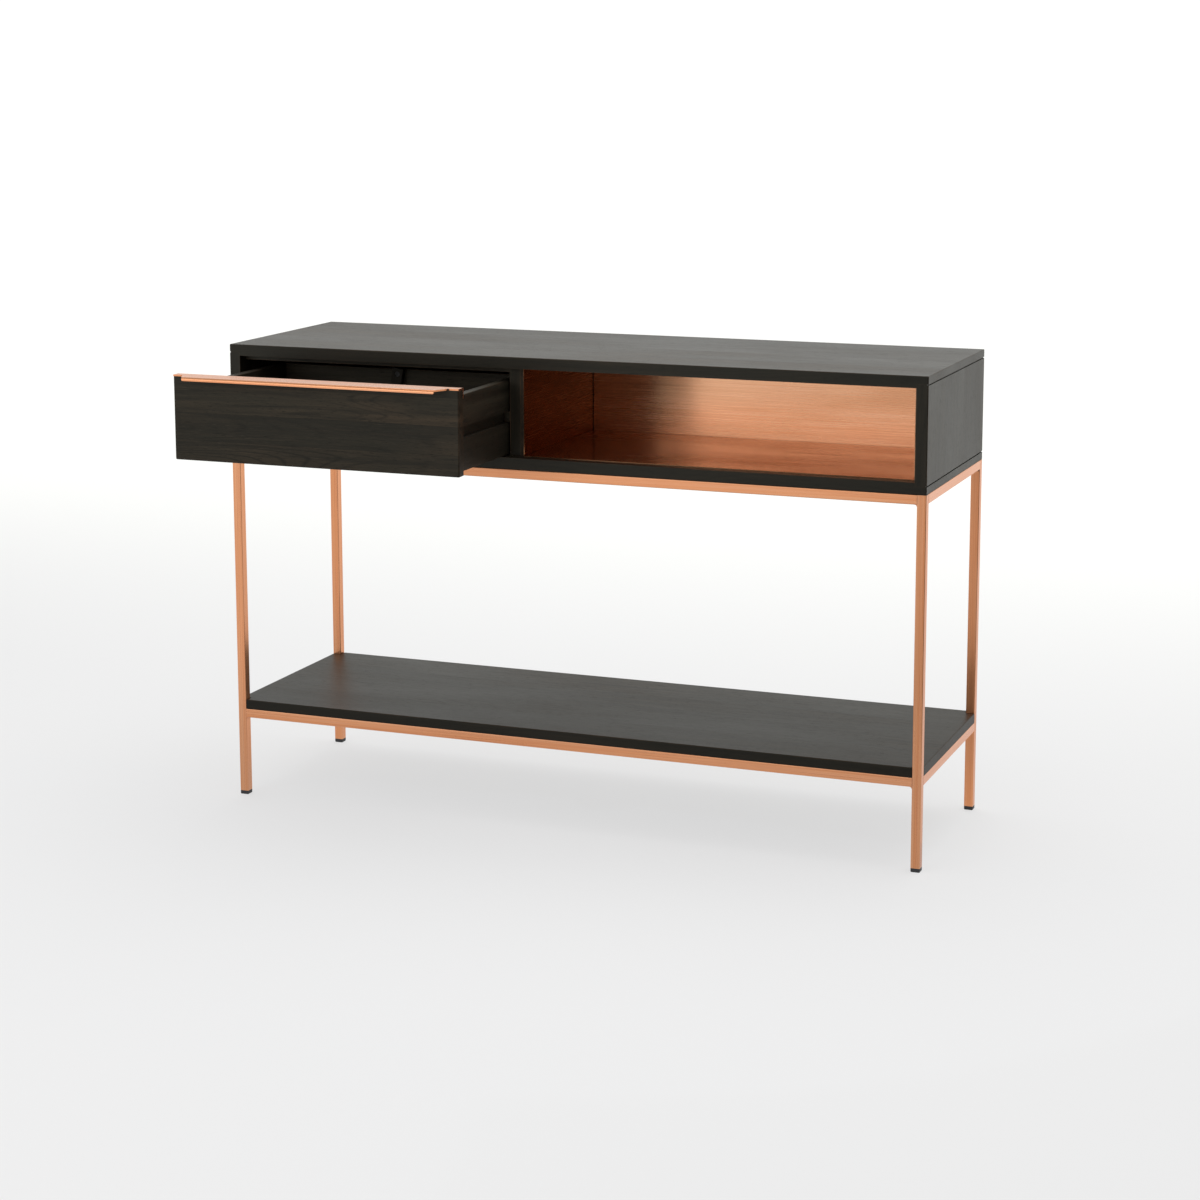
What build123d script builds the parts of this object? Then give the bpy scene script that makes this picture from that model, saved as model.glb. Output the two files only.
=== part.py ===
from build123d import *
import os

# Console table: a brushed-copper square-tube frame carries a dark wood case and a lower shelf.
# The case holds one drawer on the left, shown partly open, and an open copper-lined bay on the
# right. Millimetres; X to the right, Y to the back, Z up. The origin is the centre of the case's
# footprint, on the floor.

# ---- driving dimensions -------------------------------------------------------------------
WIDTH, DEPTH, HEIGHT = 1200.0, 370.0, 780.0
CASE_HEIGHT = 183.0
BOARD = 19.0                    # every board of the case
TUBE, TUBE_WALL, TUBE_RADIUS = 15.0, 1.5, 1.2
SHELF_THICKNESS = 16.0
LOWER_RAIL_TOP = 152.0
FOOT_HEAD = 6.5                 # visible height of each plastic foot
EASE = 1.5                      # rounding of the boards' sharp edges

# the case
RECESS = 20.0                   # divider and lining stand back this far behind the case's front
BACK_FACE_Y = 145.0             # front face of the back panel
DIVIDER_X = -97.5               # left face of the divider
END_THICKNESS = 12.5            # top and bottom boards, where they lap over the side panels
GROOVE = 2.0                    # shadow groove along that joint
STOP_RAIL_HEIGHT, STOP_RAIL_DEPTH = 8.0, 19.0

# the copper lining of the open bay
LINING, BACKING = 1.0, 5.0
LINING_GAP = 0.8                # between one sheet's edge and the next sheet

# the drawer; DRAWER_OPEN is how far it stands out here
DRAWER_OPEN = 219.0
FRONT_THICKNESS, FRONT_HEIGHT, FRONT_GAP = 16.0, 135.0, 1.5
FRONT_LENGTH = 500.0
FRONT_EASE = 2.5                # the drawer front's softer rounding
SIDE_THICKNESS, SIDE_LENGTH, SIDE_HEIGHT = 14.0, 308.0, 121.0
SIDE_INSET = 22.0               # from the end of the front to the outer face of a side
BACK_THICKNESS = 12.0
BOTTOM_THICKNESS, BOTTOM_GROOVE, BOTTOM_LIFT = 5.0, 5.0, 9.0
RUNNER_HEIGHT, RUNNER_WIDTH, RUNNER_LENGTH = 16.2, 10.0, 298.0
SLOT_HEIGHT, SLOT_DEPTH = 18.0, 7.5
RUNNER_PLAY = 0.3               # above the runner, inside the slot of the drawer side

# the folded copper handle along the top of the drawer front
SHEET = 2.5
HANDLE_FLANGE, HANDLE_REACH, HANDLE_LIP = 16.5, 26.0, 5.8
LIP_BEND = 3.8                  # outer radius where the tab turns down into its lip
TAB_ROOT, TAB_TIP = 466.0, 440.0

# the turn-button that stops the drawer
STOP_WIDTH, STOP_THICKNESS, STOP_HEAD, STOP_TAIL = 19.0, 10.0, 10.0, 27.0
STOP_GAP, STOP_LEAN = 0.4, 9.0

# fasteners
DOWEL_RADIUS, DOWEL_LENGTH = 4.0, 30.0
SCREW_RADIUS, SCREW_HEAD_RADIUS, SCREW_HEAD = 2.0, 4.0, 2.2

# ---- derived places -----------------------------------------------------------------------
HALF_W, HALF_D = WIDTH / 2, DEPTH / 2
FRONT_Y = -HALF_D
CASE_BOTTOM = HEIGHT - CASE_HEIGHT
FLOOR_Z = CASE_BOTTOM + BOARD           # top of the case's bottom board
CEILING_Z = HEIGHT - BOARD              # underside of the case's top board
WALL_X = HALF_W - BOARD                 # inner face of a side panel
INNER_FRONT_Y = FRONT_Y + RECESS
DIVIDER_RIGHT = DIVIDER_X + BOARD
TUBE_CENTRE_X, TUBE_CENTRE_Y = HALF_W - TUBE / 2, HALF_D - TUBE / 2
RAIL_CENTRES_Z = {"upper": CASE_BOTTOM - TUBE / 2, "lower": LOWER_RAIL_TOP - TUBE / 2}

DRAWER_LEFT = -WALL_X + FRONT_GAP
DRAWER_RIGHT = DRAWER_LEFT + FRONT_LENGTH
DRAWER_MID = (DRAWER_LEFT + DRAWER_RIGHT) / 2
DRAWER_FACE_Y = FRONT_Y - DRAWER_OPEN
DRAWER_REAR_FACE_Y = DRAWER_FACE_Y + FRONT_THICKNESS
BOX_LEFT, BOX_RIGHT = DRAWER_LEFT + SIDE_INSET, DRAWER_RIGHT - SIDE_INSET
BOX_END_Y = DRAWER_REAR_FACE_Y + SIDE_LENGTH
FRONT_BOTTOM = FLOOR_Z + 2.5
FRONT_TOP = FRONT_BOTTOM + FRONT_HEIGHT
BOX_BOTTOM = FLOOR_Z + 2.0
BOX_TOP = BOX_BOTTOM + SIDE_HEIGHT
SLOT_TOP = BOX_BOTTOM + 70.0
RUNNER_TOP = SLOT_TOP - RUNNER_PLAY
TRAY_Z = BOX_BOTTOM + BOTTOM_LIFT       # underside of the drawer's bottom panel
BACK_INNER_Y = BOX_END_Y - BACK_THICKNESS
STOP_PIVOT_Z = BOX_TOP - 8.0
STOP_FACE_Y = BACK_INNER_Y - STOP_GAP - STOP_THICKNESS

# the left runner stands on a spacer, so that both drawer sides clear their wall alike
SPACER_INNER_X = BOX_LEFT - (DIVIDER_X - BOX_RIGHT)
RUNNER_MID_Z = RUNNER_TOP - RUNNER_HEIGHT / 2
RUNNER_TIPS = {"left": SPACER_INNER_X + RUNNER_WIDTH, "right": DIVIDER_X - RUNNER_WIDTH}

# ---- countersunk screws: head face, direction, length, radius -----------------------------
BACK_MID_Y = BOX_END_Y - BACK_THICKNESS / 2
FLANGE_Y = DRAWER_REAR_FACE_Y + SHEET        # rear face of the handle's flange
HANDLE_SCREW_Z = FRONT_TOP + SHEET - HANDLE_FLANGE + 6.0
RUNNER_SCREWS = [((RUNNER_TIPS[name], y, RUNNER_MID_Z), direction, 22.0, 1.75)
                 for name, direction in (("left", (-1, 0, 0)), ("right", (1, 0, 0)))
                 for y in (-135.0, -15.0, 105.0)]
BACK_SCREWS = [((x, BACK_MID_Y, z), direction, 35.0, 1.75)
               for x, direction in ((BOX_LEFT, (1, 0, 0)), (BOX_RIGHT, (-1, 0, 0)))
               for z in (BOX_BOTTOM + 36.0, BOX_TOP - 22.0)]
BOTTOM_SCREWS = [((DRAWER_MID + offset, BACK_MID_Y, TRAY_Z), (0, 0, 1), 22.0, 1.5)
                 for offset in (-160.0, 0.0, 160.0)]
HANDLE_SCREWS = [((DRAWER_MID + offset, FLANGE_Y, HANDLE_SCREW_Z), (0, -1, 0), 13.0, 1.5)
                 for offset in (-170.0, 0.0, 170.0)]
# the turn-button's screw: its head sits just inside the button's face
STOP_SCREW = ((DRAWER_MID, STOP_FACE_Y + 1.0, STOP_PIVOT_Z), (0, 1, 0), 20.0, SCREW_RADIUS)

CORNERS = [("front_left", -1, -1), ("front_right", 1, -1), ("back_left", -1, 1), ("back_right", 1, 1)]


# ---- helpers ------------------------------------------------------------------------------
def block(x0, x1, y0, y1, z0, z1):
    """An axis-aligned box between two corners."""
    centre = ((x0 + x1) / 2, (y0 + y1) / 2, (z0 + z1) / 2)
    return Pos(*centre) * Box(abs(x1 - x0), abs(y1 - y0), abs(z1 - z0))


def at(solid, x=None, y=None, z=None):
    """The edges of a solid whose middle lies at the given coordinates."""
    wanted = [(axis, value) for axis, value in zip("XYZ", (x, y, z)) if value is not None]
    return [edge for edge in solid.edges()
            if all(abs(getattr(edge.center(), axis) - value) < 0.01 for axis, value in wanted)]


def rod(radius, length, start, direction):
    """A cylinder that starts at a point and runs along a direction."""
    return Plane(origin=start, z_dir=direction) * Cylinder(
        radius, length, align=(Align.CENTER, Align.CENTER, Align.MIN))


def pan_screw(start, direction, length):
    """A screw whose head's underside is at start; its shank runs along direction."""
    back = tuple(-value for value in direction)
    head = fillet(rod(SCREW_HEAD_RADIUS, SCREW_HEAD, start, back).edges().sort_by(
        lambda edge: (edge.center() - Vector(*start)).length)[-1], SCREW_HEAD / 3)
    return head + rod(SCREW_RADIUS, length, start, direction)


def sunk_bore(start, direction, length, radius):
    """The countersunk hole that a screw fills; its mouth is at start."""
    cone = Plane(origin=start, z_dir=direction) * Cone(
        2 * radius - 0.1, radius, radius, align=(Align.CENTER, Align.CENTER, Align.MIN))
    return cone + rod(radius, length, start, direction)


def sunk_screw(start, direction, length, radius):
    """A countersunk screw, with a socket for the driver in its flat head."""
    return sunk_bore(start, direction, length, radius) - rod(
        radius * 0.45, radius * 0.6, start, direction)


def tube(length):
    """A square tube along +Z from the XY plane."""
    outer = RectangleRounded(TUBE, TUBE, TUBE_RADIUS)
    inner = Rectangle(TUBE - 2 * TUBE_WALL, TUBE - 2 * TUBE_WALL)
    return extrude(outer - inner, length)


def drill(solid, screws):
    """Cut the countersunk holes of a list of screws."""
    for screw in screws:
        solid -= sunk_bore(*screw)
    return solid


def write(name, solid):
    """Write one sub-part; a list of solids makes one node."""
    if isinstance(solid, list):
        solid = Compound(children=solid)
    solid.label = name
    export_step(solid, f"parts/{name}.step")


# ---- frame --------------------------------------------------------------------------------
UPPER_SCREW_X, LOWER_SCREW_X = 400.0, 420.0


def rail_screw_places(level):
    """Where screws pass up through the rails of one level: (x, y)."""
    spread = UPPER_SCREW_X if level == "upper" else LOWER_SCREW_X
    places = [(x, side * TUBE_CENTRE_Y) for side in (-1, 1) for x in (-spread, 0.0, spread)]
    return places + [(x, y) for x in (-TUBE_CENTRE_X, TUBE_CENTRE_X) for y in (-65.0, 65.0)]


def frame_screws(level):
    """Screws up into the board above. Their heads sit inside the tube, under its upper wall."""
    seat = RAIL_CENTRES_Z[level] + TUBE / 2 - TUBE_WALL
    bite = 11.0
    return [pan_screw((x, y, seat), (0, 0, 1), TUBE_WALL + bite)
            for x, y in rail_screw_places(level)]


def leg(side_x, side_y):
    height = CASE_BOTTOM - FOOT_HEAD
    return Pos(side_x * TUBE_CENTRE_X, side_y * TUBE_CENTRE_Y, FOOT_HEAD) * tube(height)


def rail(level, name):
    """One rail of the upper or lower ring, butted between two legs. Each screw has a small hole
    in the upper wall and, to pass its head, a wider one in the lower wall."""
    z = RAIL_CENTRES_Z[level]
    if name in ("front", "back"):
        y = -TUBE_CENTRE_Y if name == "front" else TUBE_CENTRE_Y
        plane, length = Plane(origin=(-HALF_W + TUBE, y, z), z_dir=(1, 0, 0)), WIDTH - 2 * TUBE
    else:
        x = -TUBE_CENTRE_X if name == "left" else TUBE_CENTRE_X
        plane, length = Plane(origin=(x, -HALF_D + TUBE, z), z_dir=(0, 1, 0)), DEPTH - 2 * TUBE
    body = plane * tube(length)
    for x, y in rail_screw_places(level):
        body -= rod(SCREW_RADIUS + 0.25, TUBE + 2, (x, y, z - TUBE / 2 - 1), (0, 0, 1))
        body -= rod(SCREW_HEAD_RADIUS + 0.6, TUBE / 2, (x, y, z - TUBE / 2 - 1), (0, 0, 1))
    return body


def weld(corner, along, size=4.5):
    """A ground-smooth weld in the corner under a rail: corner is the inside corner, along is
    the horizontal direction in which the rail runs away from the leg."""
    plane = Plane(origin=corner, x_dir=along, z_dir=Vector(*along).cross(Vector(0, 0, 1)))
    drop = -size if plane.y_dir.Z > 0 else size
    profile = make_face([Line((0, 0), (size, 0)),
                         RadiusArc((size, 0), (0, drop), size if drop > 0 else -size),
                         Line((0, drop), (0, 0))])
    return plane * extrude(profile, (TUBE - 2 * TUBE_RADIUS) / 2, both=True)


def welds(level):
    z = RAIL_CENTRES_Z[level] - TUBE / 2
    beads = []
    for _, side_x, side_y in CORNERS:
        inner_x, inner_y = side_x * (HALF_W - TUBE), side_y * (HALF_D - TUBE)
        beads.append(weld((inner_x, side_y * TUBE_CENTRE_Y, z), (-side_x, 0, 0)))
        beads.append(weld((side_x * TUBE_CENTRE_X, inner_y, z), (0, -side_y, 0)))
    return beads


def foot(side_x, side_y):
    """A plastic foot: a square head under the tube and a plug inside it."""
    head = extrude(RectangleRounded(TUBE, TUBE, TUBE_RADIUS), FOOT_HEAD)
    head = chamfer(head.faces().sort_by(Axis.Z)[0].edges(), 1.0)
    plug_side = TUBE - 2 * TUBE_WALL - 0.4
    plug = Pos(0, 0, FOOT_HEAD) * extrude(Rectangle(plug_side, plug_side), 12.0)
    return Pos(side_x * TUBE_CENTRE_X, side_y * TUBE_CENTRE_Y, 0) * (head + plug)


def lower_shelf():
    """A full-size board on the lower rails, notched round the four legs."""
    top = LOWER_RAIL_TOP + SHELF_THICKNESS
    board = block(-HALF_W, HALF_W, -HALF_D, HALF_D, LOWER_RAIL_TOP, top)
    notch = TUBE + 0.5
    for _, side_x, side_y in CORNERS:
        board -= block(side_x * (HALF_W - notch), side_x * (HALF_W + 1),
                       side_y * (HALF_D - notch), side_y * (HALF_D + 1),
                       LOWER_RAIL_TOP - 1, top + 1)
    board = fillet(board.faces().sort_by(Axis.Z)[-1].edges(), EASE)
    for screw in frame_screws("lower"):
        board -= screw
    return board


# ---- case ---------------------------------------------------------------------------------
def dowel_rows():
    """Start points of the case's dowels: in each side panel and in the divider, top and bottom."""
    starts = []
    side_up = HEIGHT - END_THICKNESS - 21.0
    side_down = CASE_BOTTOM + END_THICKNESS - 9.0
    for y in (-130.0, 0.0, 130.0):
        for x in (-HALF_W + BOARD / 2, HALF_W - BOARD / 2):
            starts += [(x, y, side_up), (x, y, side_down)]
    for y in (-120.0, 0.0, 110.0):
        x = DIVIDER_X + BOARD / 2
        starts += [(x, y, CEILING_Z - DOWEL_LENGTH / 2), (x, y, FLOOR_Z - DOWEL_LENGTH / 2)]
    return starts


def case_dowels():
    return [rod(DOWEL_RADIUS, DOWEL_LENGTH, start, (0, 0, 1)) for start in dowel_rows()]


def case_board(top):
    """The top or bottom board: full size, thinner at the ends, where it laps a side panel."""
    low, high = (CEILING_Z, HEIGHT) if top else (CASE_BOTTOM, FLOOR_Z)
    board = block(-HALF_W, HALF_W, FRONT_Y, HALF_D, low, high)
    lap_z = (low - 1, HEIGHT - END_THICKNESS) if top else (CASE_BOTTOM + END_THICKNESS, high + 1)
    for side in (-1, 1):
        board -= block(side * WALL_X, side * (HALF_W + 1), FRONT_Y - 1, HALF_D + 1, *lap_z)
    outside = board.faces().sort_by(Axis.Z)[-1 if top else 0]
    corners = [e for e in board.edges() if e.geom_type == GeomType.LINE
               and abs(abs(e.center().X) - HALF_W) < 0.01 and abs(abs(e.center().Y) - HALF_D) < 0.01]
    board = fillet(outside.edges() + ShapeList(corners), EASE)
    for dowel in case_dowels():
        board -= dowel
    if not top:
        for screw in frame_screws("upper"):
            board -= screw
    return board


def side_panel(side):
    """A side of the case, with a shadow groove at its top and bottom joints."""
    low, high = CASE_BOTTOM + END_THICKNESS, HEIGHT - END_THICKNESS
    outer = side * HALF_W
    panel = block(side * WALL_X, outer, FRONT_Y, HALF_D, low, high)
    for z0, z1 in ((low - 1, low + GROOVE), (high - GROOVE, high + 1)):
        panel -= block(outer - side * GROOVE, outer + side, FRONT_Y - 1, HALF_D + 1, z0, z1)
    panel = fillet([e for e in at(panel, x=outer) if abs(abs(e.center().Y) - HALF_D) < 0.01], EASE)
    for dowel in case_dowels():
        panel -= dowel
    return drill(panel, RUNNER_SCREWS) if side < 0 else panel


def divider():
    board = block(DIVIDER_X, DIVIDER_RIGHT, INNER_FRONT_Y, BACK_FACE_Y, FLOOR_Z, CEILING_Z)
    for dowel in case_dowels():
        board -= dowel
    return drill(board, RUNNER_SCREWS)


def back_panel():
    return block(-WALL_X, WALL_X, BACK_FACE_Y, BACK_FACE_Y + BOARD, FLOOR_Z, CEILING_Z)


def stop_rail():
    """A rail under the top board, across the drawer bay, that the turn-button catches."""
    return block(-WALL_X, DIVIDER_X, INNER_FRONT_Y, INNER_FRONT_Y + STOP_RAIL_DEPTH,
                 CEILING_Z - STOP_RAIL_HEIGHT, CEILING_Z)


# ---- drawer runners -----------------------------------------------------------------------
def runner(name):
    """A wooden rail that the slot in the drawer's side slides on."""
    base = SPACER_INNER_X if name == "left" else DIVIDER_X
    bar = block(base, RUNNER_TIPS[name], INNER_FRONT_Y, INNER_FRONT_Y + RUNNER_LENGTH,
                RUNNER_TOP - RUNNER_HEIGHT, RUNNER_TOP)
    return drill(bar, RUNNER_SCREWS)


def runner_spacer():
    """Packs the left runner out from the side panel, so both runners stand alike."""
    pad = block(-WALL_X, SPACER_INNER_X, INNER_FRONT_Y, BACK_FACE_Y,
                RUNNER_MID_Z - 30.0, RUNNER_MID_Z + 30.0)
    return drill(pad, RUNNER_SCREWS)


# ---- copper lining of the open bay --------------------------------------------------------
BAY_LEFT = DIVIDER_RIGHT + BACKING + LINING
BAY_RIGHT = WALL_X - BACKING - LINING
BAY_BACK = BACK_FACE_Y - BACKING - LINING
BAY_FLOOR, BAY_CEILING = FLOOR_Z + LINING, CEILING_Z - LINING
LINING_FRONT = INNER_FRONT_Y


def bay_backing(name):
    """Boards that the copper sheets are glued to, on the two walls and the back."""
    if name == "left":
        return block(DIVIDER_RIGHT, DIVIDER_RIGHT + BACKING, LINING_FRONT, BACK_FACE_Y,
                     FLOOR_Z, CEILING_Z)
    if name == "right":
        return block(WALL_X - BACKING, WALL_X, LINING_FRONT, BACK_FACE_Y, FLOOR_Z, CEILING_Z)
    return block(DIVIDER_RIGHT + BACKING, WALL_X - BACKING, BACK_FACE_Y - BACKING, BACK_FACE_Y,
                 FLOOR_Z, CEILING_Z)


def bay_lining(name):
    """One copper sheet of the lining. The floor and the ceiling lie between the upright sheets."""
    if name in ("floor", "ceiling"):
        z0, z1 = (FLOOR_Z, BAY_FLOOR) if name == "floor" else (BAY_CEILING, CEILING_Z)
        return block(BAY_LEFT + LINING_GAP, BAY_RIGHT - LINING_GAP, LINING_FRONT,
                     BAY_BACK - LINING_GAP, z0, z1)
    if name == "back":
        return block(BAY_LEFT + LINING_GAP, BAY_RIGHT - LINING_GAP, BAY_BACK, BAY_BACK + LINING,
                     FLOOR_Z, CEILING_Z)
    x0, x1 = (BAY_LEFT - LINING, BAY_LEFT) if name == "left" else (BAY_RIGHT, BAY_RIGHT + LINING)
    return block(x0, x1, LINING_FRONT, BACK_FACE_Y - BACKING, FLOOR_Z, CEILING_Z)


# ---- drawer -------------------------------------------------------------------------------
def drawer_dowels():
    """Dowels between the drawer front and the ends of its sides."""
    pegs = []
    for x in (BOX_LEFT + SIDE_THICKNESS / 2, BOX_RIGHT - SIDE_THICKNESS / 2):
        for z in (BOX_BOTTOM + 32.0, BOX_TOP - 24.0):
            pegs.append(rod(3.0, 24.0, (x, DRAWER_REAR_FACE_Y - 10.0, z), (0, 1, 0)))
    return pegs


def drawer_bottom():
    """A thin panel in grooves of the sides and the front, under the drawer's back."""
    panel = block(BOX_LEFT + SIDE_THICKNESS - BOTTOM_GROOVE, BOX_RIGHT - SIDE_THICKNESS + BOTTOM_GROOVE,
                  DRAWER_REAR_FACE_Y - BOTTOM_GROOVE, BOX_END_Y, TRAY_Z, TRAY_Z + BOTTOM_THICKNESS)
    return drill(panel, BOTTOM_SCREWS)


def drawer_front():
    front = block(DRAWER_LEFT, DRAWER_RIGHT, DRAWER_FACE_Y, DRAWER_REAR_FACE_Y, FRONT_BOTTOM, FRONT_TOP)
    mid_y, mid_z = (DRAWER_FACE_Y + DRAWER_REAR_FACE_Y) / 2, (FRONT_BOTTOM + FRONT_TOP) / 2
    front = fillet(at(front, y=DRAWER_FACE_Y, z=mid_z) + at(front, y=DRAWER_FACE_Y, z=FRONT_BOTTOM)
                   + at(front, y=mid_y, z=FRONT_BOTTOM), FRONT_EASE)
    front -= block(BOX_LEFT + SIDE_THICKNESS - BOTTOM_GROOVE, BOX_RIGHT - SIDE_THICKNESS + BOTTOM_GROOVE,
                   DRAWER_REAR_FACE_Y - BOTTOM_GROOVE, DRAWER_REAR_FACE_Y + 1,
                   TRAY_Z, TRAY_Z + BOTTOM_THICKNESS)
    for dowel in drawer_dowels():
        front -= dowel
    return drill(front, HANDLE_SCREWS)


def drawer_side(name):
    """A drawer side: a slot outside for the runner, a groove inside for the bottom."""
    x0, x1 = (BOX_LEFT, BOX_LEFT + SIDE_THICKNESS) if name == "left" else (
        BOX_RIGHT - SIDE_THICKNESS, BOX_RIGHT)
    outer, inward = (x0, 1) if name == "left" else (x1, -1)
    inner = outer + inward * SIDE_THICKNESS
    side = block(x0, x1, DRAWER_REAR_FACE_Y, BOX_END_Y, BOX_BOTTOM, BOX_TOP)
    side = fillet(at(side, x=outer, z=BOX_TOP) + at(side, x=inner, z=BOX_TOP), EASE)
    side -= block(outer - inward, outer + inward * SLOT_DEPTH, DRAWER_REAR_FACE_Y - 1, BOX_END_Y + 1,
                  SLOT_TOP - SLOT_HEIGHT, SLOT_TOP)
    side -= block(inner - inward * BOTTOM_GROOVE, inner + inward, DRAWER_REAR_FACE_Y - 1, BOX_END_Y + 1,
                  TRAY_Z, TRAY_Z + BOTTOM_THICKNESS)
    for dowel in drawer_dowels():
        side -= dowel
    return drill(side, BACK_SCREWS)


def drawer_back():
    """Stands on the bottom panel, between the sides."""
    panel = block(BOX_LEFT + SIDE_THICKNESS, BOX_RIGHT - SIDE_THICKNESS, BACK_INNER_Y, BOX_END_Y,
                  TRAY_Z + BOTTOM_THICKNESS, BOX_TOP)
    panel = fillet(at(panel, y=BACK_INNER_Y, z=BOX_TOP) + at(panel, y=BOX_END_Y, z=BOX_TOP), EASE)
    return drill(panel, BACK_SCREWS + BOTTOM_SCREWS + [STOP_SCREW])


def drawer_handle():
    """A folded copper sheet: a plate on the front's top edge, a flange behind it and, in the
    middle, a tab that reaches forward with slanted ends and a lip turned down."""
    top = FRONT_TOP + SHEET
    tip = DRAWER_FACE_Y - HANDLE_REACH
    plate = block(DRAWER_LEFT, DRAWER_RIGHT, DRAWER_FACE_Y, FLANGE_Y, FRONT_TOP, top)
    flange = block(DRAWER_LEFT, DRAWER_RIGHT, DRAWER_REAR_FACE_Y, FLANGE_Y, top - HANDLE_FLANGE, top)
    outline = Polyline((-TAB_ROOT / 2, DRAWER_FACE_Y + 1), (-TAB_ROOT / 2, DRAWER_FACE_Y),
                       (-TAB_TIP / 2, tip), (TAB_TIP / 2, tip), (TAB_ROOT / 2, DRAWER_FACE_Y),
                       (TAB_ROOT / 2, DRAWER_FACE_Y + 1), close=True)
    tab = Pos(DRAWER_MID, 0, FRONT_TOP) * extrude(make_face(outline), SHEET)
    lip_left, lip_right = DRAWER_MID - TAB_TIP / 2, DRAWER_MID + TAB_TIP / 2
    lip = block(lip_left, lip_right, tip, tip + SHEET, top - HANDLE_LIP, FRONT_TOP + SHEET / 2)
    lip = fillet([e for e in at(lip, z=top - HANDLE_LIP) if abs(e.length - SHEET) < 0.01], 1.8)
    bend_y, bend_z = tip + LIP_BEND, top - LIP_BEND
    lip += block(lip_left, lip_right, tip + SHEET / 2, bend_y, bend_z, FRONT_TOP + SHEET / 2)
    lip -= rod(LIP_BEND - SHEET, 2 * TAB_TIP, (DRAWER_MID - TAB_TIP, bend_y, bend_z), (1, 0, 0))
    sheet = plate + flange + tab + lip
    sheet = fillet(at(sheet, y=FLANGE_Y, z=top), SHEET - 0.2)
    corner = block(DRAWER_LEFT, DRAWER_RIGHT, tip - 1, bend_y, bend_z, top + 1)
    corner -= rod(LIP_BEND, 2 * TAB_TIP, (DRAWER_MID - TAB_TIP, bend_y, bend_z), (1, 0, 0))
    sheet -= corner
    roots = [e for e in sheet.edges() if abs(abs(e.center().X - DRAWER_MID) - TAB_ROOT / 2) < 0.01
             and abs(e.center().Y - DRAWER_FACE_Y) < 0.01 and abs(e.length - SHEET) < 0.1]
    sheet = fillet(roots, 6.0)
    return drill(sheet, HANDLE_SCREWS)


# ---- turn-button stop ---------------------------------------------------------------------
def drawer_stop():
    """The turn-button: hangs tail down and leans a little; tail up, it catches the stop rail."""
    strip = block(-STOP_WIDTH / 2, STOP_WIDTH / 2, STOP_FACE_Y, STOP_FACE_Y + STOP_THICKNESS,
                  -STOP_TAIL, STOP_HEAD)
    strip = fillet(strip.edges().filter_by(Axis.Y), 1.5)
    strip -= rod(SCREW_RADIUS + 0.05, STOP_THICKNESS + 2, (0, STOP_FACE_Y - 1, 0), (0, 1, 0))
    head_radius = 2 * SCREW_RADIUS + 0.5
    strip -= rod(head_radius, 1.0, (0, STOP_FACE_Y, 0), (0, 1, 0))
    strip -= Plane(origin=(0, STOP_FACE_Y + 1.0, 0), z_dir=(0, 1, 0)) * Cone(
        head_radius, SCREW_RADIUS + 0.05, head_radius - SCREW_RADIUS,
        align=(Align.CENTER, Align.CENTER, Align.MIN))
    return Pos(DRAWER_MID, 0, STOP_PIVOT_Z) * Rot(0, STOP_LEAN, 0) * strip


# ---- write every sub-part -----------------------------------------------------------------
os.makedirs("parts", exist_ok=True)

for corner, side_x, side_y in CORNERS:
    write(f"leg_{corner}", leg(side_x, side_y))
    write(f"foot_{corner}", foot(side_x, side_y))

for level in ("upper", "lower"):
    for name in ("front", "back", "left", "right"):
        write(f"{level}_rail_{name}", rail(level, name))
    write(f"welds_{level}", welds(level))
    write(f"frame_screws_{level}", frame_screws(level))

write("lower_shelf", lower_shelf())

write("top_panel", case_board(top=True))
write("bottom_panel", case_board(top=False))
write("side_panel_left", side_panel(-1))
write("side_panel_right", side_panel(1))
write("divider_panel", divider())
write("back_panel", back_panel())
write("stop_rail", stop_rail())
write("case_dowels", case_dowels())

write("runner_left", runner("left"))
write("runner_right", runner("right"))
write("runner_spacer", runner_spacer())
write("runner_screws", [sunk_screw(*screw) for screw in RUNNER_SCREWS])

for name in ("left", "right", "back"):
    write(f"bay_backing_{name}", bay_backing(name))
for name in ("floor", "ceiling", "left", "right", "back"):
    write(f"bay_lining_{name}", bay_lining(name))

write("drawer_front", drawer_front())
write("drawer_side_left", drawer_side("left"))
write("drawer_side_right", drawer_side("right"))
write("drawer_back", drawer_back())
write("drawer_bottom", drawer_bottom())
write("drawer_handle", drawer_handle())
write("drawer_dowels", drawer_dowels())
write("drawer_back_screws", [sunk_screw(*screw) for screw in BACK_SCREWS])
write("drawer_bottom_screws", [sunk_screw(*screw) for screw in BOTTOM_SCREWS])
write("handle_screws", [sunk_screw(*screw) for screw in HANDLE_SCREWS])
write("drawer_stop", drawer_stop())
write("stop_screw", sunk_screw(*STOP_SCREW))
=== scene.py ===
import math

import bmesh
import bpy
from mathutils import Matrix, Vector


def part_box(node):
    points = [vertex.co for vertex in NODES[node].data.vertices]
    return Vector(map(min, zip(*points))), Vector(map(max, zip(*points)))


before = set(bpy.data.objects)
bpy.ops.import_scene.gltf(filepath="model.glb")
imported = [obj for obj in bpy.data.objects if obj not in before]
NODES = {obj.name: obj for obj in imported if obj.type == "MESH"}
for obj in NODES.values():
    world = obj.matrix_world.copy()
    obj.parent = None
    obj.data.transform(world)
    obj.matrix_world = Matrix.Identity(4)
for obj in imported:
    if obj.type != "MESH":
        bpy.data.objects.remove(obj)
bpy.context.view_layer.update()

X, Y, Z = 0, 1, 2
MM = 0.001
CORNERS = ("front_left", "front_right", "back_left", "back_right")

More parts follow.
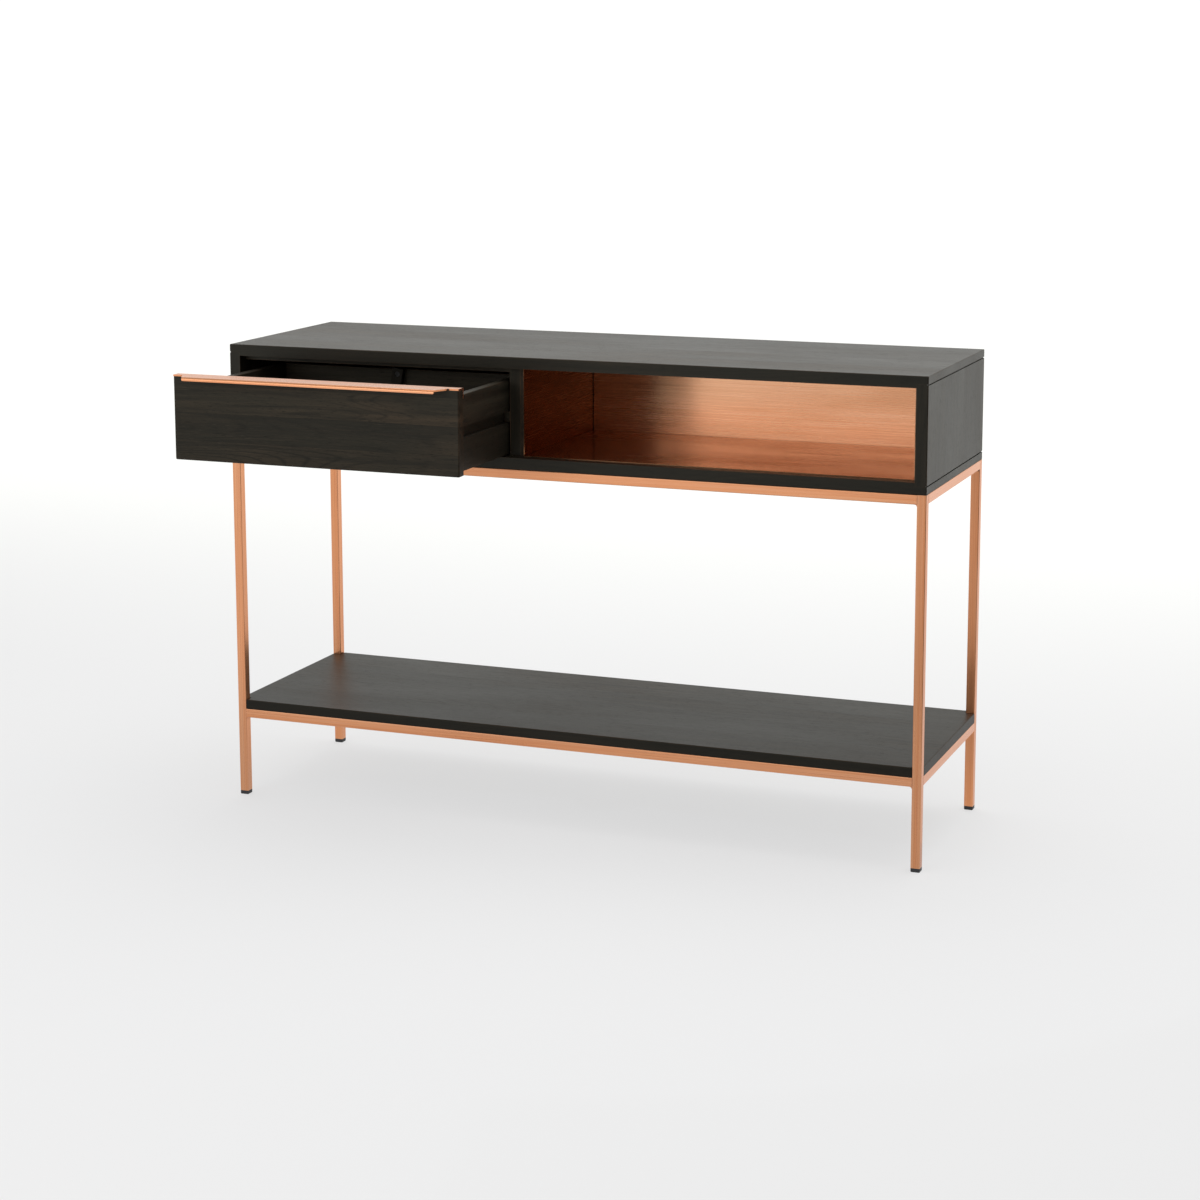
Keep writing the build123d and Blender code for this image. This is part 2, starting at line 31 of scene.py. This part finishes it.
# ---- colours, linear -----------------------------------------------------------------------
WOOD_DARK = (0.0075, 0.0062, 0.0044)
WOOD_MID = (0.0180, 0.0150, 0.0098)
WOOD_BROWN = (0.0560, 0.0345, 0.0200)
WOOD_FLECK = (0.0900, 0.0720, 0.0520)
WOOD_WORN = (0.1150, 0.0560, 0.0270)
WOOD_SHEEN = (1.0, 0.935, 0.76)
# painted light: the drawer box's stain, about 1.5 times lighter than the case's same stain, stands
# in for light inside the drawer
DRAWER_LIT_DARK = (0.0110, 0.0092, 0.0068)
DRAWER_LIT_MID = (0.0300, 0.0255, 0.0175)
STOP_DARK = (0.0040, 0.0035, 0.0028)
STOP_MID = (0.0080, 0.0070, 0.0055)
BOARD_DARK = (0.0100, 0.0075, 0.0055)
BOARD_MID = (0.0240, 0.0170, 0.0115)
COPPER = (0.780, 0.332, 0.146)
COPPER_DEEP = (0.650, 0.238, 0.100)
COPPER_PALE = (0.850, 0.465, 0.270)
LINING = (0.880, 0.505, 0.305)
LINING_DEEP = (0.640, 0.290, 0.130)
LINING_PALE = (0.900, 0.540, 0.330)
# painted shade: a darker copy of the lining, given to the bay's floor and left sheets
LINING_PAINTED_SHADE = (0.450, 0.190, 0.080)
# painted shade: near-black copper laid along each lining sheet's rim, darkening the bay's corners
# and seams
LINING_EDGE_SHADE = (0.150, 0.060, 0.030)
BEECH_LIGHT = (0.560, 0.370, 0.200)
BEECH_DARK = (0.380, 0.225, 0.110)
ZINC = (0.560, 0.550, 0.520)
ZINC_DARK = (0.330, 0.320, 0.300)
BLACK_STEEL = (0.035, 0.034, 0.032)
BLACK_STEEL_WORN = (0.240, 0.230, 0.215)
PLASTIC = (0.0120, 0.0120, 0.0125)
PLASTIC_WORN = (0.0400, 0.0390, 0.0380)

# ---- noise along a grain: scale along it and across it (per metre), detail, roughness ------
WOOD_RINGS = (1.5, 13.0, 1.0, 0.35)
WOOD_STREAKS = (3.5, 85.0, 4.0, 0.65)
WOOD_FIBRES = (22.0, 700.0, 2.0, 0.60)
WOOD_PORES = (80.0, 950.0, 1.0, 0.55)
WOOD_FLECKS = (60.0, 900.0, 1.0, 0.55)
WOOD_CLOUDS = (2.4, 7.0, 2.0, 0.50)
WOOD_PATCHES = (5.0, 26.0, 2.0, 0.50)
BRUSH_LINES = (5.0, 1900.0, 3.0, 0.65)
BRUSH_BANDS = (1.6, 260.0, 3.0, 0.60)
COPPER_CLOUDS = (3.0, 12.0, 3.0, 0.55)
COPPER_SPECKS = (130.0, 260.0, 2.0, 0.50)
BEECH_STREAKS = (30.0, 500.0, 3.0, 0.60)
BEECH_FLECKS = (300.0, 1800.0, 1.0, 0.50)
ZINC_LINES = (2600.0, 500.0, 2.0, 0.50)

# ---- noise without a grain: scale (per metre), detail, roughness ---------------------------
ZINC_CLOUDS = (260.0, 3.0, 0.60)
STEEL_CLOUDS = (420.0, 3.0, 0.60)
PLASTIC_GRAIN = (2600.0, 2.0, 0.60)
PLASTIC_SCUFFS = (420.0, 4.0, 0.70)
STUDIO_GRAIN = (900.0, 2.0, 0.50)

# ---- how far the rubbed edges and the lining's painted edge shade reach, and how deep each surface's relief is ---
WOOD_RUB = 1.6 * MM
COPPER_RUB_AND_SHADE = 1.3 * MM
STEEL_RUB = 0.7 * MM
PLASTIC_RUB = 1.2 * MM
WOOD_RELIEF = (0.050 * MM, 0.6)         # depth, strength
COPPER_RELIEF = (0.012 * MM, 0.5)
BEECH_RELIEF = (0.050 * MM, 0.5)
ZINC_RELIEF = (0.010 * MM, 0.4)
STEEL_RELIEF = (0.020 * MM, 0.4)
PLASTIC_RELIEF = (0.020 * MM, 0.5)
STUDIO_RELIEF = (0.050 * MM, 0.2)

SEED_STEP = (7.31, 3.17, 5.53)          # moves a grain by this for each unit of its seed
SEED_START = (0.0, 2.0, 0.0)
STAVE_SEED = 1.7
RING_COUNT = 40.0                       # year rings over the whole range of their noise
RING_TWIST = 0.2
RING_TONE, PORE_TONE, SEAM_TONE = 0.45, 0.30, 0.30      # of the wood's dark colour
SEAM_WIDTH = 0.7 * MM
STAVE_SHIFT = 3.0                       # moves each stave's grain by up to this, in noise units
SPECK_TONE = 0.6                        # of the copper's deep colour
FLECK_TONE = 0.6                        # of the beech's dark colour
LACQUER = 0.2
LACQUER_ROUGH = 0.28

CASE_STAVE, SIDE_STAVE, DRAWER_STAVE = 0.092, 0.115, 0.075
STAVES_FROM = -0.185                    # the case's front face
FRONT_STAVES = 3
FRONT_STAVE_DROP = 0.012                # the drawer front's lowest stave is cut down by this

# ---- floor, lights and camera --------------------------------------------------------------
FLOOR_RADIUS = 5.6
FLOOR_RINGS = 4
COVE_RADIUS = 2.2
COVE_STEPS = 16
WALL_TOP = 5.2
BOWL_STEPS = 96
FLOOR_PAINT = 0.22
FLOOR_GLOW = (0.61, 0.61, 0.612)
BACKDROP_GLOW = (0.86, 0.868, 0.842)
FRONT_GLOW = (0.50, 0.50, 0.50)
BACK_FADE = (0.2, 3.6)                  # distance behind the table plus BACK_LIFT times height
BACK_LIFT = 2.0
FRONT_FADE = (2.0, 5.0)                 # distance in front of the table
AIR_GLOW = 0.6

SCREEN_STEPS = 24
SCREEN_CLOTH = 0.012
SCREEN_TINT = (0.97, 1.04, 1.13)
GLOW_TOP = 1.6                          # height where a screen's second glow is reached
FLAG_SPAN = (14.0, 85.0)                # degrees from straight in front, towards +X
FLAG_PROFILE = ((1.25, 0.02), (3.3, 0.02), (3.3, 2.1))      # radius and height
CARD_SPAN = (-62.0, 12.0)
CARD_PROFILE = ((3.3, 0.02), (3.3, 2.6))
CARD_GLOW = (0.80, 1.90)                # at the floor and at GLOW_TOP
CARD_FADE = (-14.0, 12.0)               # degrees: full on the left of this, faint on its right
FAINT = 0.60
MAT_SPAN = (-85.0, 85.0)
MAT_PROFILE = ((0.05, 0.004), (1.25, 0.004))
MAT_GLOW = (0.66, 0.66)

# place, point aimed at, width and height, watts
OVERHEAD = ((0.3, 0.4, 3.4), (0.0, 0.0, 0.4), (3.6, 2.6), 62.0)
FILL = ((-1.2, -3.1, 1.45), (-0.2, 0.0, 0.7), (2.6, 1.0), 19.0)

CAMERA_PLACE = (1.5516, -3.9756, 1.2870)
CAMERA_TURN = 0.37335                   # radians about Z, from looking along +Y
CAMERA_TILT = 0.16052                   # radians below the horizon
CAMERA_ROLL = -0.00195
CAMERA_SENSOR = 36.0
CAMERA_LENS = 77.66
CAMERA_SHIFT = -0.12                    # of the picture's height
CAMERA_CLIP = (0.05, 60.0)


# ---- node building -------------------------------------------------------------------------
class Tree:
    """One material's nodes, with a call for each kind of step."""

    def __init__(self, name):
        self.material = bpy.data.materials.new(name)
        self.material.use_nodes = True
        self.nt = self.material.node_tree
        self.nt.nodes.clear()
        self.place = self.add("ShaderNodeTexCoord").outputs["Object"]

    def add(self, kind, **settings):
        node = self.nt.nodes.new(kind)
        for key, value in settings.items():
            setattr(node, key, value)
        return node

    def put(self, socket, value):
        """Links value to the socket, or sets it there where it is a plain number or colour."""
        if isinstance(value, bpy.types.NodeSocket):
            self.nt.links.new(value, socket)
        elif isinstance(value, tuple) and socket.type == "RGBA":
            socket.default_value = (*value, 1.0)
        else:
            socket.default_value = value

    def math(self, operation, a, b=0.0, clamp=False):
        node = self.add("ShaderNodeMath", operation=operation, use_clamp=clamp)
        self.put(node.inputs[0], a)
        self.put(node.inputs[1], b)
        return node.outputs[0]

    def times(self, a, b, clamp=False):
        return self.math("MULTIPLY", a, b, clamp)

    def plus(self, a, b, clamp=False):
        return self.math("ADD", a, b, clamp)

    def minus(self, a, b):
        return self.math("SUBTRACT", a, b)

    def vector(self, operation, a, b):
        node = self.add("ShaderNodeVectorMath", operation=operation)
        self.put(node.inputs[0], a)
        self.put(node.inputs[1], b)
        return node.outputs[0]

    def parts(self, vector):
        node = self.add("ShaderNodeSeparateXYZ")
        self.put(node.inputs[0], vector)
        return list(node.outputs)

    def join(self, x, y, z):
        node = self.add("ShaderNodeCombineXYZ")
        for socket, value in zip(node.inputs, (x, y, z)):
            self.put(socket, value)
        return node.outputs[0]

    def noise(self, place, scale, detail, rough, twist=0.0):
        node = self.add("ShaderNodeTexNoise", noise_dimensions="3D")
        self.put(node.inputs["Vector"], place)
        self.put(node.inputs["Scale"], scale)
        self.put(node.inputs["Detail"], detail)
        self.put(node.inputs["Roughness"], rough)
        self.put(node.inputs["Distortion"], twist)
        return node.outputs["Fac"]

    def grain(self, field, along, seed, shift=None, twist=0.0):
        """Noise stretched along one axis, in a place of its own by seed and shift. field is its
        scale along the axis and across it, its detail and its roughness."""
        length_scale, across_scale, detail, rough = field
        scale = [across_scale] * 3
        scale[along] = length_scale
        spot = self.vector("MULTIPLY", self.place, tuple(scale))
        moved = tuple(seed * step + start for step, start in zip(SEED_STEP, SEED_START))
        spot = self.vector("ADD", spot, moved)
        if shift is not None:
            spot = self.vector("ADD", spot, shift)
        return self.noise(spot, 1.0, detail, rough, twist)

    def random(self, value):
        node = self.add("ShaderNodeTexWhiteNoise", noise_dimensions="1D")
        self.put(node.inputs["W"], value)
        return node.outputs["Value"]

    def fold(self, value):
        """0 half way through each whole step of value, rising to 0.5 at both of its ends."""
        return self.math("ABSOLUTE", self.minus(self.math("FRACT", value), 0.5))

    def span(self, value, low, high, to_low=0.0, to_high=1.0, smooth=False):
        """value's span low..high mapped to to_low..to_high, held at both ends."""
        node = self.add("ShaderNodeMapRange", clamp=True)
        node.interpolation_type = "SMOOTHSTEP" if smooth else "LINEAR"
        for socket, number in zip(node.inputs, (value, low, high, to_low, to_high)):
            self.put(socket, number)
        return node.outputs[0]

    def mix(self, share, under, over):
        node = self.add("ShaderNodeMix", data_type="RGBA", blend_type="MIX")
        self.put(node.inputs[0], share)
        self.put(node.inputs[6], under)
        self.put(node.inputs[7], over)
        return node.outputs[2]

    def layered(self, colour, *layers):
        """colour with each (share, colour) of layers laid over it in turn."""
        for share, over in layers:
            colour = self.mix(share, colour, over)
        return colour

    def bump(self, height, relief):
        depth, strength = relief
        node = self.add("ShaderNodeBump")
        self.put(node.inputs["Height"], height)
        self.put(node.inputs["Distance"], depth)
        self.put(node.inputs["Strength"], strength)
        return node.outputs[0]

    def shade(self, **inputs):
        """The Principled shader with these inputs, as the material's surface."""
        shader = self.add("ShaderNodeBsdfPrincipled")
        for key, value in inputs.items():
            self.put(shader.inputs[key.replace("_", " ")], value)
        output = self.add("ShaderNodeOutputMaterial")
        self.nt.links.new(shader.outputs[0], output.inputs["Surface"])
        return self.material


def toned(colour, tone):
    return tuple(tone * channel for channel in colour)


def near_edge(t, node, reach):
    """1 along the outer edges of a node's box, falling to 0 over reach metres."""
    low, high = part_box(node)
    middle, half = (low + high) / 2, (high - low) / 2
    offset = t.vector("SUBTRACT", t.place, tuple(middle))
    inset = t.vector("SUBTRACT", t.vector("ABSOLUTE", offset, (0, 0, 0)), tuple(half))
    x, y, z = t.parts(inset)
    lower, upper = t.math("MINIMUM", x, y), t.math("MAXIMUM", x, y)
    second = t.math("MAXIMUM", lower, t.math("MINIMUM", upper, z))
    return t.span(second, -reach, 0.0, smooth=True)


# ---- materials. A noise stays near 0.5, so each span of one picks its middle or a tail. -----
def stave_marks(t, staves, seed):
    """A tone from 0 to 1 for each edge-glued stave, and 1 in the seams between them."""
    axis, width, start = staves
    steps = t.math("DIVIDE", t.minus(t.parts(t.place)[axis], start), width)
    tone = t.random(t.plus(t.math("FLOOR", steps), seed * STAVE_SEED))
    return tone, t.span(t.fold(steps), 0.5 - SEAM_WIDTH / width, 0.5, smooth=True)


def wood(name, node, along, seed, staves=None, dark=WOOD_DARK, mid=WOOD_MID, brown=0.35,
         rough=0.40, gloss=0.24):
    """Near-black stained open-grained timber. along is the grain's axis; staves is (axis, width,
    start) of edge-glued staves; brown is how much warm timber shows through the stain."""
    t = Tree(name)
    shift = None
    if staves:
        tone, seam = stave_marks(t, staves, seed)
        moved = t.times(tone, STAVE_SHIFT)
        shift = t.join(moved, moved, moved)

    def field(kind, twist=0.0):
        return t.grain(kind, along, seed, shift, twist)

    # year rings, cut open: thin dark contour lines of a long soft field
    ring = t.span(t.fold(t.times(field(WOOD_RINGS, RING_TWIST), RING_COUNT)), 0.30, 0.50,
                  smooth=True)
    streak = field(WOOD_STREAKS)
    fibre = field(WOOD_FIBRES)
    pore = t.span(field(WOOD_PORES), 0.60, 0.72, smooth=True)
    fleck = t.span(field(WOOD_FLECKS), 0.62, 0.78, smooth=True)
    cloud = field(WOOD_CLOUDS)
    patch = field(WOOD_PATCHES)

    warm = t.span(cloud, 0.40, 0.66, smooth=True)
    stained = t.span(streak, 0.34, 0.68)
    if staves:
        warm = t.times(warm, t.span(tone, 0.0, 1.0, 0.25, 1.5))
        stained = t.times(stained, t.span(tone, 0.0, 1.0, 0.40, 1.45), clamp=True)
    warm = t.times(t.times(warm, t.span(streak, 0.28, 0.66)), brown, clamp=True)
    ringed = t.times(ring, t.span(patch, 0.42, 0.62, 0.15, 0.80))
    flecked = t.times(fleck, t.span(patch, 0.38, 0.62, 0.02, 0.16))
    worn = t.times(near_edge(t, node, WOOD_RUB), t.span(fibre, 0.35, 0.75))
    colour = t.layered(
        dark,
        (stained, mid),
        (warm, WOOD_BROWN),
        (ringed, toned(dark, RING_TONE)),
        (t.times(t.span(fibre, 0.5, 0.8), 0.22), WOOD_BROWN),
        (t.times(pore, 0.70), toned(dark, PORE_TONE)),
        (flecked, WOOD_FLECK),
        (t.times(worn, 0.45), WOOD_WORN))
    if staves:
        colour = t.layered(colour, (t.times(seam, 0.60), toned(dark, SEAM_TONE)))

    roughness = t.span(fibre, 0.2, 0.8, rough - 0.04, rough + 0.05)
    roughness = t.plus(roughness, t.span(cloud, 0.3, 0.7, -0.03, 0.03))
    roughness = t.plus(roughness, t.times(pore, 0.10), clamp=True)
    height = t.minus(t.times(fibre, 0.35), pore)
    height = t.plus(height, t.times(streak, 0.30))
    if staves:
        height = t.minus(height, seam)
    return t.shade(Base_Color=colour, Roughness=roughness, Normal=t.bump(height, WOOD_RELIEF),
                   Specular_IOR_Level=gloss, Specular_Tint=WOOD_SHEEN, IOR=1.5)


def copper(name, node, along, seed, plain=COPPER, deep=COPPER_DEEP, pale=COPPER_PALE, rough=0.30,
           spread=0.5, wear=0.35, brush=1.0, coat=LACQUER, edge=COPPER_PALE):
    """Brushed copper under clear lacquer. along is the axis that the brush lines follow, spread
    how far they spread a highlight, brush how strong they are, wear how strong the rim colour is
    (rubbed copper on the frame, painted shade in the lining's corners and seams), and coat how
    much lacquer there is."""
    t = Tree(name)
    line = t.grain(BRUSH_LINES, along, seed)
    band = t.grain(BRUSH_BANDS, along, seed + 3)
    cloud = t.grain(COPPER_CLOUDS, along, seed + 5)
    speck = t.grain(COPPER_SPECKS, along, seed + 9)
    # rim mask: a rubbed edge colour on the frame, and painted shade in the corners and seams on
    # the lining
    worn = t.times(near_edge(t, node, COPPER_RUB_AND_SHADE), t.span(cloud, 0.35, 0.65, 0.4, 1.0))
    colour = t.layered(
        deep,
        (t.span(line, 0.35, 0.68), plain),
        (t.times(t.span(band, 0.40, 0.72), 0.40 * brush), pale),
        (t.times(t.span(cloud, 0.52, 0.78, smooth=True), 0.35), deep),
        (t.times(t.span(speck, 0.70, 0.80), 0.35), toned(deep, SPECK_TONE)),
        (t.times(worn, wear), edge))
    roughness = t.span(line, 0.30, 0.72, rough - 0.05, rough + 0.07)
    roughness = t.plus(roughness, t.span(cloud, 0.35, 0.7, -0.03, 0.05), clamp=True)
    height = t.times(t.plus(t.times(band, 0.5), line), brush)
    lay = [0.0, 0.0, 0.0]
    lay[along] = 1.0
    return t.shade(Base_Color=colour, Metallic=1.0, Roughness=roughness, Anisotropic=spread,
                   Anisotropic_Rotation=0.25, Tangent=t.join(*lay),
                   Normal=t.bump(height, COPPER_RELIEF), Coat_Weight=coat,
                   Coat_Roughness=LACQUER_ROUGH)


def beech(name, seed):
    """Plain beech with its short dark flecks."""
    t = Tree(name)
    streak = t.grain(BEECH_STREAKS, Z, seed)
    fleck = t.span(t.grain(BEECH_FLECKS, Z, seed + 2), 0.62, 0.70)
    colour = t.layered(
        BEECH_DARK,
        (t.span(streak, 0.35, 0.65), BEECH_LIGHT),
        (t.times(fleck, 0.6), toned(BEECH_DARK, FLECK_TONE)))
    return t.shade(Base_Color=colour, Roughness=t.span(streak, 0.3, 0.7, 0.55, 0.70),
                   Normal=t.bump(streak, BEECH_RELIEF))


def zinc(name, seed):
    """Bright zinc plate: fine turning lines, dull patches."""
    t = Tree(name)
    line = t.grain(ZINC_LINES, Z, seed)
    cloud = t.noise(t.place, *ZINC_CLOUDS)
    colour = t.mix(t.span(cloud, 0.35, 0.70), ZINC, ZINC_DARK)
    return t.shade(Base_Color=colour, Metallic=1.0, Roughness=t.span(cloud, 0.3, 0.7, 0.24, 0.42),
                   Normal=t.bump(line, ZINC_RELIEF))


def black_steel(name, node):
    """Blackened steel: satin, a little brighter where its rim is rubbed."""
    t = Tree(name)
    cloud = t.noise(t.place, *STEEL_CLOUDS)
    worn = t.times(near_edge(t, node, STEEL_RUB), t.span(cloud, 0.35, 0.65))
    colour = t.mix(t.times(worn, 0.7), BLACK_STEEL, BLACK_STEEL_WORN)
    return t.shade(Base_Color=colour, Metallic=0.6, Roughness=t.span(cloud, 0.3, 0.7, 0.36, 0.50),
                   Normal=t.bump(cloud, STEEL_RELIEF))


def plastic(name, node):
    """Moulded black plastic: a fine grained skin, scuffed at its rims."""
    t = Tree(name)
    skin = t.noise(t.place, *PLASTIC_GRAIN)
    scuff = t.noise(t.place, *PLASTIC_SCUFFS)
    worn = t.times(near_edge(t, node, PLASTIC_RUB), t.span(scuff, 0.4, 0.65))
    colour = t.mix(t.times(worn, 0.5), PLASTIC, PLASTIC_WORN)
    return t.shade(Base_Color=colour, Roughness=t.span(scuff, 0.3, 0.7, 0.42, 0.60),
                   Normal=t.bump(skin, PLASTIC_RELIEF))


def paint(node, material):
    """Gives a CAD node its material in place of the plain one it was packed with."""
    for slot in NODES[node].material_slots:
        slot.link = "OBJECT"
        slot.material = material


def paint_wood(node, along, seed, staves=None, **looks):
    paint(node, wood(f"wood_{node}", node, along, seed, staves, **looks))


def paint_copper(node, along, seed, **looks):
    paint(node, copper(f"copper_{node}", node, along, seed, **looks))


# ---- the table's materials. Each node's seed gives it a grain of its own. -------------------
def paint_frame():
    runs = {f"leg_{corner}": Z for corner in CORNERS}
    for level in ("upper", "lower"):
        for side, axis in (("front", X), ("back", X), ("left", Y), ("right", Y)):
            runs[f"{level}_rail_{side}"] = axis
        runs[f"welds_{level}"] = Z
    for number, (node, axis) in enumerate(runs.items()):
        paint_copper(node, axis, number * 1.3)


def paint_lining():
    # the floor and left sheets take the lining's darker painted-shade copy; back, ceiling and
    # right keep the plain lining
    sheets = (("back", X, LINING), ("floor", X, LINING_PAINTED_SHADE), ("ceiling", X, LINING),
              ("left", Y, LINING_PAINTED_SHADE), ("right", Y, LINING))
    for number, (sheet, axis, plain) in enumerate(sheets):
        # the strong near-black rim colour here is painted shade in every sheet's corners and seams
        paint_copper(f"bay_lining_{sheet}", axis, 30 + number * 2.1, plain=plain, deep=LINING_DEEP,
                     pale=LINING_PALE, rough=0.22, spread=0.80, wear=0.9, brush=0.35, coat=0.0,
                     edge=LINING_EDGE_SHADE)


def paint_boards():
    case_staves = (Y, CASE_STAVE, STAVES_FROM)
    side_staves = (Y, SIDE_STAVE, STAVES_FROM)
    paint_wood("top_panel", X, 1.0, case_staves)
    paint_wood("bottom_panel", X, 2.3, case_staves)
    paint_wood("lower_shelf", X, 3.7, case_staves, rough=0.43, gloss=0.20)
    for number, node in enumerate(("side_panel_left", "side_panel_right", "divider_panel")):
        paint_wood(node, Z, 5.1 + number * 1.9, side_staves)
    for number, (node, axis) in enumerate(
            (("back_panel", X), ("stop_rail", X), ("runner_spacer", Y))):
        paint_wood(node, axis, 12.3 + number * 1.1, brown=0.2, rough=0.5)
    for number, node in enumerate(("runner_left", "runner_right")):
        paint_wood(node, Y, 17.9 + number * 1.3, brown=0.2, rough=0.46)
    for number, (place, axis) in enumerate((("left", Y), ("right", Y), ("back", X))):
        paint_wood(f"bay_backing_{place}", axis, 21.1 + number * 1.7, dark=BOARD_DARK,
                   mid=BOARD_MID, brown=0.15, rough=0.6, gloss=0.2)


def paint_drawer():
    low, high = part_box("drawer_front")
    front_staves = (Z, (high.z - low.z) / FRONT_STAVES, low.z - FRONT_STAVE_DROP)
    paint_wood("drawer_front", X, 40.0, front_staves, brown=0.75, gloss=0.19)
    # the drawer's sides and back are painted lighter than the case's stain, as painted light
    # inside the drawer
    for number, (node, axis) in enumerate(
            (("drawer_side_left", Y), ("drawer_side_right", Y), ("drawer_back", X))):
        paint_wood(node, axis, 43.0 + number * 1.9, (Z, DRAWER_STAVE, low.z), dark=DRAWER_LIT_DARK,
                   mid=DRAWER_LIT_MID, brown=0.25, rough=0.46)
    paint_wood("drawer_bottom", X, 50.3, dark=BOARD_DARK, mid=BOARD_MID, brown=0.25, rough=0.5)
    paint_wood("drawer_stop", Z, 52.9, dark=STOP_DARK, mid=STOP_MID, brown=0.1, rough=0.38)
    paint_copper("drawer_handle", X, 60.0, rough=0.24, spread=0.6, brush=1.2)


def paint_fixings():
    for number, node in enumerate(("case_dowels", "drawer_dowels")):
        paint(node, beech(f"beech_{node}", 70.0 + number))
    for number, node in enumerate(("frame_screws_upper", "frame_screws_lower", "runner_screws",
                                   "drawer_back_screws", "drawer_bottom_screws",
                                   "handle_screws")):
        paint(node, zinc(f"zinc_{node}", 80.0 + number * 1.3))
    paint("stop_screw", black_steel("black_stop_screw", "stop_screw"))
    for corner in CORNERS:
        node = f"foot_{corner}"
        paint(node, plastic(f"plastic_{node}", node))


# ---- the studio ----------------------------------------------------------------------------
def placed(name, data):
    obj = bpy.data.objects.new(name, data)
    bpy.context.scene.collection.objects.link(obj)
    return obj


def mesh_object(name, bm):
    mesh = bpy.data.meshes.new(name)
    bm.to_mesh(mesh)
    bm.free()
    return placed(name, mesh)


def bowl():
    """Floor and backdrop in one: a round floor whose rim curves up into a wall on all sides."""
    profile = [(FLOOR_RADIUS * k / FLOOR_RINGS, 0.0) for k in range(1, FLOOR_RINGS)]
    for k in range(COVE_STEPS + 1):
        turn = math.pi / 2 * k / COVE_STEPS
        profile.append((FLOOR_RADIUS + COVE_RADIUS * math.sin(turn),
                        COVE_RADIUS * (1 - math.cos(turn))))
    profile.append((FLOOR_RADIUS + COVE_RADIUS, WALL_TOP))
    bm = bmesh.new()
    centre = bm.verts.new((0, 0, 0))
    rings = []
    for radius, height in profile:
        rings.append([bm.verts.new((radius * math.cos(a), radius * math.sin(a), height))
                      for a in (math.tau * s / BOWL_STEPS for s in range(BOWL_STEPS))])
    for s in range(BOWL_STEPS):
        n = (s + 1) % BOWL_STEPS
        bm.faces.new((centre, rings[0][s], rings[0][n]))
        for inner, outer in zip(rings, rings[1:]):
            bm.faces.new((inner[s], outer[s], outer[n], inner[n]))
    obj = mesh_object("studio_bowl", bm)
    for face in obj.data.polygons:
        face.use_smooth = True
    t = Tree("studio_paint")
    y, z = t.parts(t.place)[1:]
    back = t.span(t.plus(y, t.times(z, BACK_LIFT)), *BACK_FADE, smooth=True)
    front = t.span(t.times(y, -1.0), *FRONT_FADE, smooth=True)
    glow = t.layered(FLOOR_GLOW, (back, BACKDROP_GLOW), (front, FRONT_GLOW))
    obj.data.materials.append(t.shade(
        Base_Color=(FLOOR_PAINT,) * 3, Roughness=0.8, Specular_IOR_Level=0.1, Emission_Color=glow,
        Emission_Strength=1.0, Normal=t.bump(t.noise(t.place, *STUDIO_GRAIN), STUDIO_RELIEF)))


def screen(name, span, profile, glow=None, fade=None):
    """A curved screen that only reflections see. span is its turn round the table, profile its
    (radius, height) corners, glow its light at the floor and at GLOW_TOP (rising evenly between),
    and fade the two angles between which it grows faint."""
    bm = bmesh.new()
    columns = []
    for k in range(SCREEN_STEPS + 1):
        turn = math.radians(span[0] + (span[1] - span[0]) * k / SCREEN_STEPS)
        columns.append([bm.verts.new((radius * math.sin(turn), -radius * math.cos(turn), z))
                        for radius, z in profile])
    for left, right in zip(columns, columns[1:]):
        for k in range(len(profile) - 1):
            bm.faces.new((left[k], right[k], right[k + 1], left[k + 1]))
    obj = mesh_object(name, bm)
    t = Tree(f"{name}_cloth")
    x, y, z = t.parts(t.place)
    strength = t.span(z, 0.0, GLOW_TOP, *glow) if glow else 0.0
    if fade:
        turn = t.math("ARCTAN2", x, t.times(y, -1.0))
        start, end = (math.radians(angle) for angle in fade)
        strength = t.times(strength, t.span(turn, start, end, 1.0, FAINT, smooth=True))
    obj.data.materials.append(t.shade(
        Base_Color=(SCREEN_CLOTH,) * 3, Roughness=0.95, Specular_IOR_Level=0.0,
        Emission_Color=SCREEN_TINT, Emission_Strength=strength))
    obj.visible_camera = obj.visible_diffuse = obj.visible_shadow = False


def softbox(name, place, aim, size, watts):
    data = bpy.data.lights.new(name, "AREA")
    data.shape = "RECTANGLE"
    data.size, data.size_y = size
    data.energy = watts
    lamp = placed(name, data)
    lamp.location = place
    lamp.rotation_euler = (Vector(aim) - Vector(place)).to_track_quat("-Z", "Y").to_euler()
    lamp.visible_camera = False
    return lamp


def lights():
    world = bpy.data.worlds.new("studio_air")
    bpy.context.scene.world = world
    world.use_nodes = True
    air = world.node_tree.nodes["Background"]
    air.inputs["Color"].default_value = (1, 1, 1, 1)
    air.inputs["Strength"].default_value = AIR_GLOW
    softbox("overhead", *OVERHEAD)
    fill = softbox("front_left", *FILL)
    fill.visible_glossy = False


def camera():
    data = bpy.data.cameras.new("camera")
    data.sensor_width = CAMERA_SENSOR
    data.lens = CAMERA_LENS
    data.shift_y = CAMERA_SHIFT
    data.clip_start, data.clip_end = CAMERA_CLIP
    obj = placed("camera", data)
    ahead = Vector((-math.sin(CAMERA_TURN) * math.cos(CAMERA_TILT),
                    math.cos(CAMERA_TURN) * math.cos(CAMERA_TILT), -math.sin(CAMERA_TILT)))
    roll = Matrix.Rotation(CAMERA_ROLL, 3, "Z").to_quaternion()
    obj.location = CAMERA_PLACE
    obj.rotation_mode = "QUATERNION"
    obj.rotation_quaternion = ahead.to_track_quat("-Z", "Y") @ roll
    bpy.context.scene.camera = obj


paint_frame()
paint_lining()
paint_boards()
paint_drawer()
paint_fixings()
bowl()
screen("studio_flag", FLAG_SPAN, FLAG_PROFILE)
screen("studio_card", CARD_SPAN, CARD_PROFILE, CARD_GLOW, CARD_FADE)
screen("studio_mat", MAT_SPAN, MAT_PROFILE, MAT_GLOW)
lights()
camera()
bpy.context.scene.view_settings.view_transform = "Standard"
